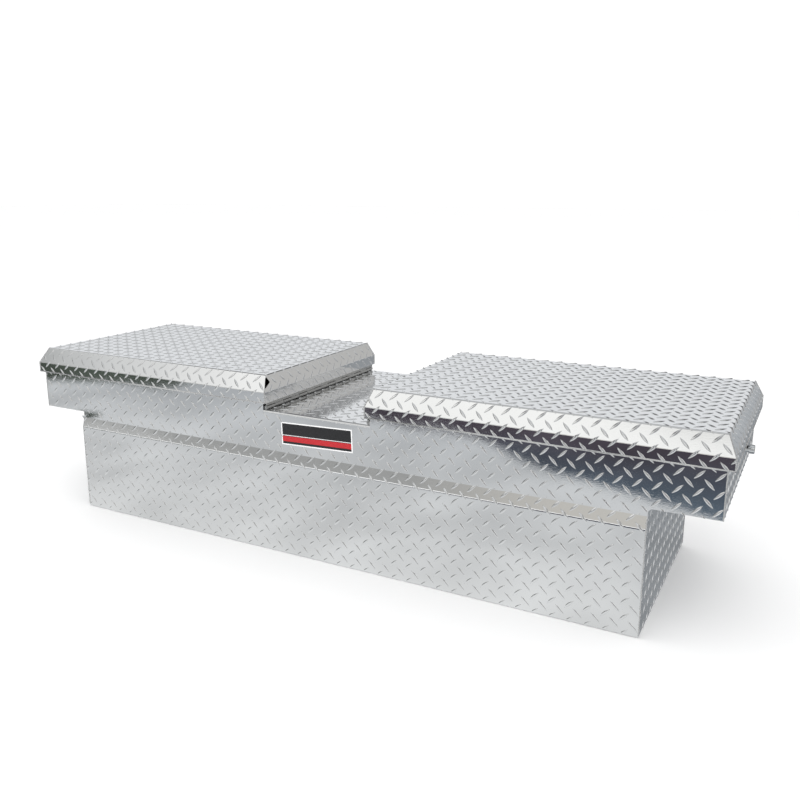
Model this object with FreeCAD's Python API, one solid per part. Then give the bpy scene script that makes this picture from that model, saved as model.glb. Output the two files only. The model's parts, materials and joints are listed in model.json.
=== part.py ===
import FreeCAD, Part
import math
import os
from FreeCAD import Vector

# A gull-wing crossover truck tool box in tread plate. X runs along the box, +Y to the back, +Z up.
# The origin is on the floor, under the middle of the box. Sizes are in millimetres.

# Sheets
SHEET = 1.6
LINER_SHEET = 1.2
BEND_R = 6.0

# Lower tub, which hangs between the truck's bed rails
TUB_HALF = 762.0
TUB_FRONT = -263.0
TUB_BACK = 245.0
JOGGLE_Z = 232.0
JOGGLE_TOP_Z = 258.0
JOGGLE_BEND_R = 18.0
TUB_TOP_Z = 300.0

# Upper body, which rests on the bed rails
RAIL_Z = 275.0
BODY_HALF = 898.0
BODY_DEPTH = 258.0
DECK_Z = 357.0
DECK_BEND_R = 5.0
DECK_SEAM_Z = 345.0
STEP_X = 147.0
RISER_X = 160.0
WALL_TOP_Z = 398.0
PANEL_BOTTOM_Z = 260.0
SKIRT_CUT_LEFT = (721.0, 697.0)
SKIRT_CUT_RIGHT = (768.0, 753.0)

# Stiffening channels: half width, brim width
DECK_HAT = (30.0, 15.0)
DECK_HAT_DEPTH = 18.0
DECK_HAT_END_GAP = 4.0
LID_HAT = (28.0, 18.0)
LID_HAT_LENGTH = 460.0
LID_HAT_SHARES = (0.2, 0.5, 0.8)

# Opening rims and their seals
RIM_Y = 20.0
RIM_IN = 16.0
RIM_OUT = 22.0
RIM_LEG = 18.0
SEAL_R = 4.0
SEAL_WALL = 1.6
SEAL_INSET_IN = 8.0
SEAL_INSET_OUT = 12.0

# Lids
LID_OUT = 911.0
LID_IN = 137.0
LID_DEPTH = 265.0
LID_BOTTOM_Z = 374.0
LID_BREAK_Z = 401.0
LID_TOP_Z = 439.0
CHAMFER_OUT = 18.0
CHAMFER_IN = 11.5
CHAMFER_Y = 22.4
HEM_HEIGHT = 12.0
LID_BEND_R = 4.0
NOTCH_WIDTH = 20.0
NOTCH_SHARES = (0.15, 0.52, 0.95)
SLANT_SHEET = 1.15 * SHEET
LINER_Z = 404.0
LINER_IN_X = 147.0
LINER_OUT_X = 899.0
LINER_Y = 253.0
LINER_LIP = 10.0

# Piano hinges
HINGE_X = 141.4
PIN_R = 2.8
RUNNING_GAP = 0.05
LEAF = 1.9
BARREL_R = PIN_R + RUNNING_GAP + LEAF
DECK_GAP = 0.4
HINGE_Z = DECK_Z + DECK_GAP + BARREL_R
HINGE_HALF = 255.0
KNUCKLES = 15
KNUCKLE_GAP = 0.6
LEAF_CLEAR = 0.5
DECK_LEAF_X = 158.5
LID_LEAF_Z = 396.0
RIVETS = 9
RIVET_PITCH = 60.0
RIVET_R = 3.2
RIVET_RISE = 1.6
DECK_RIVET_X = 153.3
LID_RIVET_Z = 385.0

# Gas struts: both pivots are the same distance from the hinge axis
STRUT_ARM = 235.0
LID_PIVOT_DEG = 5.95
WALL_PIVOT_DEG = -62.0
STRUT_Y = 215.0
EYE_HALF = 5.0
EYE_R = 8.0
STUD_R = 4.0
CYLINDER_R = 9.5
CYLINDER_BORE_R = 8.0
BORE_START = 16.0
GUIDE_LENGTH = 12.0
PISTON_GAP = 0.3
PISTON_LENGTH = 6.0
ROD_START = 6.0
TUBE_START = 10.0
NECK_R = 4.5
ROD_R = 4.0
CYLINDER_END = 238.0
ROD_LENGTH = 236.0
BOSS_R = 7.0
CLIP_R = 6.0
CLIP_LENGTH = 2.0
CLIP_GAP = 0.5
STUD_TAIL = 3.0
BRACKET_SHEET = 3.0
WALL_PLATE = (25.0, 20.0)
LID_BRACKET_BOSS = 6.0
LID_BRACKET_WEB = (14.0, 9.0)
LID_BRACKET_FOOT = (20.0, 18.0)

# Push-button latches at mid-depth of each end wall
LOCK_Z = 345.0
BUTTON_TRAVEL = 6.5
BEZEL_R = 10.2
BEZEL_END = 905.0
HEAD_R = 9.6
HEAD_START = BEZEL_END + BUTTON_TRAVEL + 1.0
HEAD_END = 922.0
SLEEVE_R = 9.0
SLEEVE_END = 884.0
SLEEVE_BORE_R = 7.3
SLEEVE_FLOOR = 2.5
SLEEVE_HOLE_R = SLEEVE_R + 0.1
NECK_GAP = 0.3
NECK_START = 900.0
NUT_HALF = 13.0
NUT_LENGTH = 4.5
PLUNGER_R = 4.0
NOSE_R = 1.2
NOSE_LENGTH = 4.0
KEY_R = 5.5
KEY_FLOOR = 1.5
KEY_END_GAP = 0.2
KEY_PROUD = 0.4
KEYWAY = (0.8, 3.6, 5.0)
SNAP_RING_R = 5.5
SNAP_RING = (882.0, 1.2)
SPRING_WIRE_R = 0.5
SPRING_R = 5.6
SPRING_TURNS = 5
PAWL_X = 872.0
PAWL_Z = 362.0
PAWL_HUB_R = 6.5
PAWL_HALF = 3.0
PAWL_PIN_R = 3.0
TAIL_R = 3.0
TAIL_GAP = 0.4
HUB_GAP = 0.4
FRAME_HALF = 17.0
FRAME_SHEET = 2.5
FRAME_WIDTH = 34.0
FRAME_LOW_Z = 326.0
FRAME_TOP_Z = 372.0
EAR_REACH = 9.0
PIN_PROUD = 1.5
SCREW_Y = 27.0
SCREW_Z = 358.0
SCREW_R = 4.0
SCREW_RISE = 2.4
STRIKER_X = 866.0
STRIKER_Z = 380.0
STRIKER_R = 4.0
CRADLE_SHEET = 2.5
CRADLE_Y = 16.0
CRADLE_FOOT_Y = 24.0
CRADLE_DROP = 7.0

# Badge on the front panel
BADGE_LENGTH = 196.0
BADGE_HEIGHT = 55.0
BADGE_SHEET = 0.4
BADGE_X = 3.0
BADGE_Z = 310.0
BADGE_ASKEW_DEG = 2.0

# Bolt holes in the rail shelves
BOLT_HOLE_R = 4.8
BOLT_Y = 180.0
BOLT_X = 830.0

# How far a cutting tool runs past what it cuts
PAST = 1.0

X, Y, Z = Vector(1, 0, 0), Vector(0, 1, 0), Vector(0, 0, 1)


def block(x0, x1, y0, y1, z0, z1):
    """A box from its two corners."""
    return Part.makeBox(x1 - x0, y1 - y0, z1 - z0, Vector(x0, y0, z0))


def rod(point, axis, radius, length):
    """A round bar that starts at point."""
    return Part.makeCylinder(radius, length, Vector(*point), axis)


def prism(points, along):
    """A closed outline of points, pushed along a vector."""
    wire = Part.makePolygon([Vector(*p) for p in points + points[:1]])
    return Part.Face(wire).extrude(along)


def joined(shapes):
    """Shapes fused to one clean solid."""
    return shapes[0].fuse(shapes[1:]).removeSplitter()


def group(shapes):
    """Separate solids kept in one node."""
    return Part.makeCompound(shapes)


def mirrored(shape):
    """The left-hand twin of a right-hand piece."""
    return shape.mirror(Vector(0, 0, 0), X)


def rounded(shape, corners):
    """Rounds the edges along X whose (y, z, radius) are listed."""
    for y, z, radius in corners:
        near = [
            e
            for e in shape.Edges
            if all(abs(v.Y - y) < 0.01 and abs(v.Z - z) < 0.01 for v in e.Vertexes)
        ]
        shape = shape.makeFillet(radius, near)
    return shape


def slope_at(z):
    """The share of the lid's chamfer that is climbed at a height."""
    return (z - LID_BREAK_Z) / (LID_TOP_Z - LID_BREAK_Z)


def tub_shell():
    """Floor, front and back of the tub: one sheet with a joggle to each upper panel."""
    flange = BODY_DEPTH - SHEET
    outer = [
        (-flange, TUB_TOP_Z),
        (-flange, JOGGLE_TOP_Z),
        (TUB_FRONT, JOGGLE_Z),
        (TUB_FRONT, 0),
        (TUB_BACK, 0),
        (TUB_BACK, JOGGLE_Z),
        (flange, JOGGLE_TOP_Z),
        (flange, TUB_TOP_Z),
    ]
    inner = [
        (flange - SHEET, TUB_TOP_Z),
        (flange - SHEET, JOGGLE_TOP_Z),
        (TUB_BACK - SHEET, JOGGLE_Z),
        (TUB_BACK - SHEET, SHEET),
        (TUB_FRONT + SHEET, SHEET),
        (TUB_FRONT + SHEET, JOGGLE_Z),
        (SHEET - flange, JOGGLE_TOP_Z),
        (SHEET - flange, TUB_TOP_Z),
    ]
    half = TUB_HALF - SHEET
    sheet = prism([(-half, y, z) for y, z in outer + inner], X * (2 * half))
    corners = [(TUB_FRONT, 0, BEND_R), (TUB_BACK, 0, BEND_R)]
    inside = BEND_R - SHEET
    corners += [(TUB_FRONT + SHEET, SHEET, inside), (TUB_BACK - SHEET, SHEET, inside)]
    corners += [(TUB_FRONT, JOGGLE_Z, JOGGLE_BEND_R), (TUB_BACK, JOGGLE_Z, JOGGLE_BEND_R)]
    return rounded(sheet, corners)


def end_plate():
    """The flat tread plate that closes the tub's end."""
    flange = BODY_DEPTH - SHEET
    outline = [
        (TUB_FRONT, 0),
        (TUB_BACK, 0),
        (TUB_BACK, JOGGLE_Z),
        (flange, JOGGLE_TOP_Z),
        (flange, RAIL_Z + SHEET),
        (-flange, RAIL_Z + SHEET),
        (-flange, JOGGLE_TOP_Z),
        (TUB_FRONT, JOGGLE_Z),
    ]
    plate = prism([(TUB_HALF - SHEET, y, z) for y, z in outline], X * SHEET)
    return rounded(plate, [(TUB_FRONT, 0, BEND_R), (TUB_BACK, 0, BEND_R)])


def end_wall():
    """The rail shelf and the outer end wall: one bent sheet."""
    half = BODY_DEPTH - SHEET
    shelf = block(TUB_HALF, BODY_HALF, -half, half, RAIL_Z, RAIL_Z + SHEET)
    wall = block(BODY_HALF - SHEET, BODY_HALF, -half, half, RAIL_Z, WALL_TOP_Z)
    sheet = joined([shelf, wall])
    for y in (-BOLT_Y, BOLT_Y):
        sheet = sheet.cut(rod((BOLT_X, y, RAIL_Z - PAST), Z, BOLT_HOLE_R, SHEET + 2 * PAST))
    hole_start = BODY_HALF - SHEET - PAST
    return sheet.cut(rod((hole_start, 0, LOCK_Z), X, SLEEVE_HOLE_R, SHEET + 2 * PAST))


def upper_panel(y0, cut_left, cut_right):
    """A long upper panel, stepped down under the saddle, with clipped lower corners."""
    outline = [
        (-BODY_HALF, RAIL_Z),
        (-cut_left[0], RAIL_Z),
        (-cut_left[1], PANEL_BOTTOM_Z),
        (cut_right[1], PANEL_BOTTOM_Z),
        (cut_right[0], RAIL_Z),
        (BODY_HALF, RAIL_Z),
        (BODY_HALF, WALL_TOP_Z),
        (STEP_X, WALL_TOP_Z),
        (STEP_X, DECK_SEAM_Z),
        (-STEP_X, DECK_SEAM_Z),
        (-STEP_X, WALL_TOP_Z),
        (-BODY_HALF, WALL_TOP_Z),
    ]
    return prism([(x, y0, z) for x, z in outline], Y * SHEET)


def saddle_deck():
    """The deck between the lids, with its rounded front and back bends."""
    half = BODY_DEPTH - SHEET
    low = DECK_Z - SHEET
    flat = block(-RISER_X - SHEET, RISER_X + SHEET, -half, half, low, DECK_Z)
    sheet = joined(
        [
            flat,
            block(-STEP_X, STEP_X, -BODY_DEPTH, BODY_DEPTH, low, DECK_Z),
            block(-STEP_X, STEP_X, -BODY_DEPTH, -half, DECK_SEAM_Z, DECK_Z),
            block(-STEP_X, STEP_X, half, BODY_DEPTH, DECK_SEAM_Z, DECK_Z),
        ]
    )
    outer = [(-BODY_DEPTH, DECK_Z, DECK_BEND_R), (BODY_DEPTH, DECK_Z, DECK_BEND_R)]
    return rounded(sheet, outer)


def deck_stiffener():
    """A hat channel across the underside of the deck."""
    top = DECK_Z - SHEET
    half, brim = DECK_HAT
    depth = DECK_HAT_DEPTH
    length = 2 * (BODY_DEPTH - SHEET - DECK_HAT_END_GAP)
    outline = [
        (-half - brim, top),
        (-half + SHEET, top),
        (-half + SHEET, top - depth + SHEET),
        (half - SHEET, top - depth + SHEET),
        (half - SHEET, top),
        (half + brim, top),
        (half + brim, top - SHEET),
        (half, top - SHEET),
        (half, top - depth),
        (-half, top - depth),
        (-half, top - SHEET),
        (-half - brim, top - SHEET),
    ]
    return prism([(x, -length / 2, z) for x, z in outline], Y * length)


def opening_frame():
    """The rim of a compartment: a flat lip, short legs inside the walls and the inboard riser."""
    half = BODY_DEPTH - SHEET
    top = WALL_TOP_Z + SHEET
    leg = WALL_TOP_Z - RIM_LEG
    lip = block(RISER_X, BODY_HALF, -BODY_DEPTH, BODY_DEPTH, WALL_TOP_Z, top)
    inner_y = half - RIM_Y
    hole = block(RISER_X + RIM_IN, BODY_HALF - RIM_OUT, -inner_y, inner_y, leg, top + PAST)
    legs = block(RISER_X, BODY_HALF - SHEET, -half, half, leg, WALL_TOP_Z)
    inside = block(
        RISER_X + SHEET, BODY_HALF - 2 * SHEET, SHEET - half, half - SHEET, leg - PAST, WALL_TOP_Z
    )
    riser = block(RISER_X, RISER_X + SHEET, -half, half, DECK_Z, WALL_TOP_Z)
    return joined([lip.cut(hole), legs.cut(inside), riser])


def lid_seal():
    """A hollow D-section rubber seal on the rim lip."""
    base = WALL_TOP_Z + SHEET
    x0, x1 = RISER_X + SEAL_INSET_IN, BODY_HALF - SEAL_INSET_OUT
    y1 = BODY_DEPTH - SEAL_INSET_OUT

    def tube(r):
        straight = [
            rod((x0, -y1, base), Y, r, 2 * y1),
            rod((x1, -y1, base), Y, r, 2 * y1),
            rod((x0, -y1, base), X, r, x1 - x0),
            rod((x0, y1, base), X, r, x1 - x0),
        ]
        balls = [Part.makeSphere(r, Vector(x, y, base)) for x in (x0, x1) for y in (-y1, y1)]
        return joined(straight + balls)

    room = SEAL_R + PAST
    above = block(x0 - room, x1 + room, -y1 - room, y1 + room, base, base + room)
    return tube(SEAL_R).common(above).cut(tube(SEAL_R - SEAL_WALL))


def lid_frustum(inset, z0, z1, x_inset=None):
    """The lid's outline between two heights, all sides moved in by an inset."""
    inboard = inset if x_inset is None else x_inset

    def ring(z):
        rise = max(0.0, slope_at(z))
        x0 = LID_IN + rise * CHAMFER_IN + inboard
        x1 = LID_OUT - rise * CHAMFER_OUT - inset
        y1 = LID_DEPTH - rise * CHAMFER_Y - inset
        return [Vector(x0, -y1, z), Vector(x1, -y1, z), Vector(x1, y1, z), Vector(x0, y1, z)]

    low, high = ring(z0), ring(z1)
    sides = [[low[i - 1], low[i], high[i], high[i - 1]] for i in range(4)]
    faces = [Part.Face(Part.makePolygon(c + c[:1])) for c in [low, high] + sides]
    return Part.makeSolid(Part.makeShell(faces))


def lid_bends_rounded(shape, axis):
    """Rounds the bends that run along an axis, at the top and at the break."""
    bends = []
    for edge in shape.Edges:
        heights = {round(v.Z, 3) for v in edge.Vertexes}
        along = abs(edge.tangentAt(edge.FirstParameter).dot(axis)) > 0.999
        if along and heights in ({LID_TOP_Z}, {LID_BREAK_Z}):
            bends.append(edge)
    return shape.makeFillet(LID_BEND_R, bends)


def lid_outer():
    """The lid's outer form: where its two bent profiles cross."""
    low, mid, top = LID_BOTTOM_Z, LID_BREAK_Z, LID_TOP_Z
    top_y = LID_DEPTH - CHAMFER_Y
    side_view = [
        (-LID_DEPTH, low),
        (-LID_DEPTH, mid),
        (-top_y, top),
        (top_y, top),
        (LID_DEPTH, mid),
        (LID_DEPTH, low),
    ]
    front_view = [
        (LID_IN, low),
        (LID_IN, mid),
        (LID_IN + CHAMFER_IN, top),
        (LID_OUT - CHAMFER_OUT, top),
        (LID_OUT, mid),
        (LID_OUT, low),
    ]
    run_x = prism([(LID_IN, y, z) for y, z in side_view], X * (LID_OUT - LID_IN))
    run_y = prism([(x, -LID_DEPTH, z) for x, z in front_view], Y * (2 * LID_DEPTH))
    return lid_bends_rounded(run_x, X).common(lid_bends_rounded(run_y, Y))


def lid_skin():
    """The tread lid: flat top, four chamfers and skirts, hemmed on three sides."""
    hem_top = LID_BOTTOM_Z + HEM_HEIGHT
    hollow = joined(
        [
            lid_frustum(2 * SHEET, LID_BOTTOM_Z - PAST, hem_top, SHEET),
            lid_frustum(SHEET, hem_top, LID_BREAK_Z),
            lid_frustum(SLANT_SHEET, LID_BREAK_Z, LID_TOP_Z - SHEET),
        ]
    )
    return lid_outer().cut(hollow)


def lid_liner():
    """The flat inner sheet of a lid, with an upturned lip all round."""
    top = LINER_Z + LINER_LIP
    tray = block(LINER_IN_X, LINER_OUT_X, -LINER_Y, LINER_Y, LINER_Z, top)
    room = block(
        LINER_IN_X + LINER_SHEET,
        LINER_OUT_X - LINER_SHEET,
        LINER_SHEET - LINER_Y,
        LINER_Y - LINER_SHEET,
        LINER_Z + LINER_SHEET,
        top + PAST,
    )
    return tray.cut(room)


def lid_stiffeners():
    """Three hat channels that join the liner to the skin."""
    low, top = LINER_Z + LINER_SHEET, LID_TOP_Z - SHEET
    half, brim = LID_HAT
    span = LINER_OUT_X - LINER_IN_X
    hats = []
    for share in LID_HAT_SHARES:
        x = LINER_IN_X + share * span
        outline = [
            (x - half - brim, low),
            (x - half, low),
            (x - half, top - SHEET),
            (x + half, top - SHEET),
            (x + half, low),
            (x + half + brim, low),
            (x + half + brim, low + SHEET),
            (x + half + SHEET, low + SHEET),
            (x + half + SHEET, top),
            (x - half - SHEET, top),
            (x - half - SHEET, low + SHEET),
            (x - half - brim, low + SHEET),
        ]
        start = -LID_HAT_LENGTH / 2
        hats.append(prism([(px, start, pz) for px, pz in outline], Y * LID_HAT_LENGTH))
    return group(hats)


def knuckle_spans(first):
    """The Y spans of every second knuckle, starting at the first or the second."""
    pitch = 2 * HINGE_HALF / KNUCKLES
    spans = []
    for i in range(first, KNUCKLES, 2):
        y0 = -HINGE_HALF + i * pitch + KNUCKLE_GAP / 2
        spans.append((y0, y0 + pitch - KNUCKLE_GAP))
    return spans


def barrel_bore():
    """The clear bore through all the knuckles."""
    start = (HINGE_X, -HINGE_HALF - PAST, HINGE_Z)
    return rod(start, Y, PIN_R + RUNNING_GAP, 2 * (HINGE_HALF + PAST))


def hinge_deck_leaf():
    """The leaf that lies on the deck, with the even knuckles."""
    base = DECK_Z
    clear = HINGE_X + BARREL_R + LEAF_CLEAR
    leaf = block(clear, DECK_LEAF_X, -HINGE_HALF, HINGE_HALF, base, base + LEAF)
    pieces = [leaf]
    for y0, y1 in knuckle_spans(0):
        pieces.append(rod((HINGE_X, y0, HINGE_Z), Y, BARREL_R, y1 - y0))
        pieces.append(block(HINGE_X, clear + PAST, y0, y1, base, base + LEAF))
    return joined(pieces).cut(barrel_bore())


def hinge_lid_leaf():
    """The leaf on the inner face of the lid's inboard skirt, with the odd knuckles."""
    x0 = LID_IN + SHEET
    low = HINGE_Z + BARREL_R + LEAF_CLEAR
    leaf = block(x0, x0 + LEAF, -HINGE_HALF, HINGE_HALF, low, LID_LEAF_Z)
    pieces = [leaf]
    for y0, y1 in knuckle_spans(1):
        pieces.append(rod((HINGE_X, y0, HINGE_Z), Y, BARREL_R, y1 - y0))
        pieces.append(block(x0, x0 + LEAF, y0, y1, HINGE_Z, low + PAST))
    return joined(pieces).cut(barrel_bore())


def hinge_pin():
    """The long pin through both leaves."""
    return rod((HINGE_X, -HINGE_HALF, HINGE_Z), Y, PIN_R, 2 * HINGE_HALF)


def deck_rivets():
    """Rivet heads that hold the deck leaf."""
    base = DECK_Z + LEAF
    return group([dome((DECK_RIVET_X, y, base), Z, RIVET_R, RIVET_RISE) for y in rivet_places()])


def lid_rivets():
    """Rivet heads on the inner face of the lid leaf."""
    x = LID_IN + SHEET + LEAF
    return group([dome((x, y, LID_RIVET_Z), X, RIVET_R, RIVET_RISE) for y in rivet_places()])


def rivet_places():
    """The places of the rivets along the hinge."""
    first = -RIVET_PITCH * (RIVETS - 1) / 2
    return [first + RIVET_PITCH * i for i in range(RIVETS)]


def dome(point, axis, radius, height):
    """A low domed head on a face."""
    sphere_r = (radius**2 + height**2) / (2 * height)
    centre = Vector(*point) - axis * (sphere_r - height)
    ball = Part.makeSphere(sphere_r, centre)
    return ball.common(rod(point, axis, radius + PAST, height + PAST))


def arm_point(degrees):
    """A strut pivot on its circle round the hinge axis."""
    angle = math.radians(degrees)
    return (
        HINGE_X + STRUT_ARM * math.cos(angle),
        HINGE_Z + STRUT_ARM * math.sin(angle),
    )


def strut_line():
    """The wall pivot, the lid pivot and the direction between them."""
    wall, lid = arm_point(WALL_PIVOT_DEG), arm_point(LID_PIVOT_DEG)
    along = Vector(lid[0] - wall[0], 0, lid[1] - wall[1])
    return wall, lid, along.Length, along.normalize()


def both_sides(make):
    """The same piece at the front strut and at the back strut."""
    return group([make(-1), make(1)])


def strut_cylinder(side):
    """Eye, tube and guide of one gas strut."""
    wall, _, _, along = strut_line()
    y = side * STRUT_Y
    foot = Vector(wall[0], y, wall[1])
    tube = rod(foot + along * TUBE_START, along, CYLINDER_R, CYLINDER_END - TUBE_START)
    neck = rod(foot + along * EYE_R / 2, along, NECK_R, TUBE_START)
    bore_length = CYLINDER_END - BORE_START - GUIDE_LENGTH
    bore = rod(foot + along * BORE_START, along, CYLINDER_BORE_R, bore_length)
    guide = rod(foot + along * BORE_START, along, ROD_R + RUNNING_GAP, CYLINDER_END)
    eye = rod(foot - Y * EYE_HALF, Y, EYE_R, 2 * EYE_HALF)
    hole = rod(foot - Y * (EYE_HALF + PAST), Y, STUD_R + RUNNING_GAP, 2 * (EYE_HALF + PAST))
    return joined([tube.cut(bore).cut(guide), neck, eye]).cut(hole)


def strut_rod(side):
    """Eye, rod and piston of one gas strut."""
    _, lid, _, along = strut_line()
    y = side * STRUT_Y
    head = Vector(lid[0], y, lid[1])
    bar = rod(head - along * ROD_LENGTH, along, ROD_R, ROD_LENGTH - ROD_START)
    piston = rod(head - along * ROD_LENGTH, along, CYLINDER_BORE_R - PISTON_GAP, PISTON_LENGTH)
    eye = rod(head - Y * EYE_HALF, Y, EYE_R, 2 * EYE_HALF)
    hole = rod(head - Y * (EYE_HALF + PAST), Y, STUD_R + RUNNING_GAP, 2 * (EYE_HALF + PAST))
    return joined([bar, piston, eye]).cut(hole)


def stud(point, side, outer_y):
    """A stud through a strut's eye, with its boss and its clip."""
    x, z = point
    inner = STRUT_Y - EYE_HALF
    boss_length = outer_y - STRUT_Y - EYE_HALF - CLIP_GAP
    boss = rod((x, side * outer_y, z), Y * -side, BOSS_R, boss_length)
    pin = rod((x, side * outer_y, z), Y * -side, STUD_R, outer_y - inner + STUD_TAIL)
    clip = rod((x, side * (inner - CLIP_GAP), z), Y * -side, CLIP_R, CLIP_LENGTH)
    return [boss, pin, clip]


def wall_bracket(side):
    """A plate on the tub's wall with the stud of the strut's lower end."""
    x, z = arm_point(WALL_PIVOT_DEG)
    face = -TUB_FRONT - SHEET if side < 0 else TUB_BACK - SHEET
    plate_y = sorted((side * face, side * (face - BRACKET_SHEET)))
    wide, high = WALL_PLATE
    plate = block(x - wide, x + wide, plate_y[0], plate_y[1], z - high, z + high)
    return joined([plate] + stud((x, z), side, face))


def lid_bracket(side):
    """An angle under the liner with the stud of the strut's upper end."""
    x, z = arm_point(LID_PIVOT_DEG)
    outer = STRUT_Y + EYE_HALF + LID_BRACKET_BOSS
    plate_y = sorted((side * outer, side * (outer - BRACKET_SHEET)))
    web_x, web_z = LID_BRACKET_WEB
    web = block(x - web_x, x + web_x, plate_y[0], plate_y[1], z - web_z, LINER_Z)
    foot_x, foot_wide = LID_BRACKET_FOOT
    foot_y = sorted((side * outer, side * (outer - foot_wide)))
    foot = block(
        x - foot_x, x + foot_x, foot_y[0], foot_y[1], LINER_Z - BRACKET_SHEET, LINER_Z
    )
    return joined([web, foot] + stud((x, z), side, outer))


def lock_housing():
    """The lock's sleeve through the end wall and its round bezel."""
    sleeve = rod((SLEEVE_END, 0, LOCK_Z), X, SLEEVE_R, BEZEL_END - SLEEVE_END)
    bezel = rod((BODY_HALF, 0, LOCK_Z), X, BEZEL_R, BEZEL_END - BODY_HALF)
    bezel = bezel.makeFillet(1.0, [e for e in bezel.Edges if e.BoundBox.XMin > BEZEL_END - 0.1])
    bore_start = SLEEVE_END + SLEEVE_FLOOR
    bore = rod((bore_start, 0, LOCK_Z), X, SLEEVE_BORE_R, BEZEL_END + PAST - bore_start)
    guide_start = SLEEVE_END - PAST
    guide = rod((guide_start, 0, LOCK_Z), X, PLUNGER_R + RUNNING_GAP, SLEEVE_FLOOR + 2 * PAST)
    return joined([sleeve, bezel]).cut(bore).cut(guide)


def lock_nut():
    """The hexagon nut that holds the sleeve from inside."""
    inner = BODY_HALF - SHEET - FRAME_SHEET
    across = NUT_HALF / math.cos(math.pi / 6)
    corners = []
    for i in range(6):
        a = math.radians(60 * i)
        place = (inner - NUT_LENGTH, across * math.cos(a), LOCK_Z + across * math.sin(a))
        corners.append(place)
    thread_start = inner - NUT_LENGTH - PAST
    thread = rod((thread_start, 0, LOCK_Z), X, SLEEVE_R + RUNNING_GAP, NUT_LENGTH + 2 * PAST)
    return prism(corners, X * NUT_LENGTH).cut(thread)


def push_button():
    """The button: head, neck, plunger with a tapered nose, and snap ring."""
    head = rod((HEAD_START, 0, LOCK_Z), X, HEAD_R, HEAD_END - HEAD_START)
    head = head.makeFillet(1.2, [e for e in head.Edges if e.BoundBox.XMin > HEAD_END - 0.1])
    neck = rod((NECK_START, 0, LOCK_Z), X, SLEEVE_BORE_R - NECK_GAP, HEAD_START - NECK_START)
    tip = PAWL_X + TAIL_R + TAIL_GAP
    nose = Part.makeCone(NOSE_R, PLUNGER_R, NOSE_LENGTH, Vector(tip, 0, LOCK_Z), X)
    shank = tip + NOSE_LENGTH
    plunger = rod((shank, 0, LOCK_Z), X, PLUNGER_R, BEZEL_END - shank)
    ring_start, ring_length = SNAP_RING
    ring = rod((ring_start, 0, LOCK_Z), X, SNAP_RING_R, ring_length)
    bore_start = HEAD_START + KEY_FLOOR
    bore = rod((bore_start, 0, LOCK_Z), X, KEY_R + RUNNING_GAP, HEAD_END + PAST - bore_start)
    return joined([head, neck, plunger, nose, ring]).cut(bore)


def key_plug():
    """The key cylinder in the button's head, with its keyway."""
    start = HEAD_START + KEY_FLOOR + KEY_END_GAP
    plug = rod((start, 0, LOCK_Z), X, KEY_R, HEAD_END + KEY_PROUD - start)
    wide, high, deep = KEYWAY
    keyway = block(HEAD_END - deep, HEAD_END + PAST, -wide, wide, LOCK_Z - high, LOCK_Z + high)
    return plug.cut(keyway)


def button_spring():
    """The button's return spring round its plunger."""
    start, end = SLEEVE_END + SLEEVE_FLOOR, NECK_START
    length = end - start - 2 * SPRING_WIRE_R
    helix = Part.makeHelix(length / SPRING_TURNS, length, SPRING_R)
    section = Part.Wire(Part.Circle(Vector(SPRING_R, 0, 0), Y, SPRING_WIRE_R).toShape())
    coil = Part.Wire(helix.Edges).makePipeShell([section], True, True)
    coil.rotate(Vector(0, 0, 0), Y, 90)
    coil.translate(Vector(start + SPRING_WIRE_R, 0, LOCK_Z))
    return coil


def latch_frame():
    """The bracket behind the end wall that carries the pawl's pivot pin."""
    wall = BODY_HALF - SHEET
    low, top = FRAME_LOW_Z, FRAME_TOP_Z
    face = wall - FRAME_SHEET
    back = block(face, wall, -FRAME_WIDTH, FRAME_WIDTH, low, top)
    hole = rod((face - PAST, 0, LOCK_Z), X, SLEEVE_HOLE_R, FRAME_SHEET + 2 * PAST)
    pieces = [back.cut(hole)]
    for side in (-1, 1):
        y0, y1 = sorted((side * FRAME_HALF, side * (FRAME_HALF + FRAME_SHEET)))
        ear = [
            (PAWL_X - EAR_REACH, y0, PAWL_Z - EAR_REACH),
            (face, y0, low),
            (face, y0, top),
            (PAWL_X - EAR_REACH, y0, top),
        ]
        pieces.append(prism(ear, Y * (y1 - y0)))
    reach = FRAME_HALF + FRAME_SHEET + PIN_PROUD
    pieces.append(rod((PAWL_X, -reach, PAWL_Z), Y, PAWL_PIN_R, 2 * reach))
    return joined(pieces)


def latch_screws():
    """Two screw heads that fix the latch frame."""
    face = BODY_HALF - SHEET - FRAME_SHEET
    heads = []
    for y in (-SCREW_Y, SCREW_Y):
        heads.append(dome((face, y, SCREW_Z), X * -1, SCREW_R, SCREW_RISE))
    return group(heads)


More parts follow.
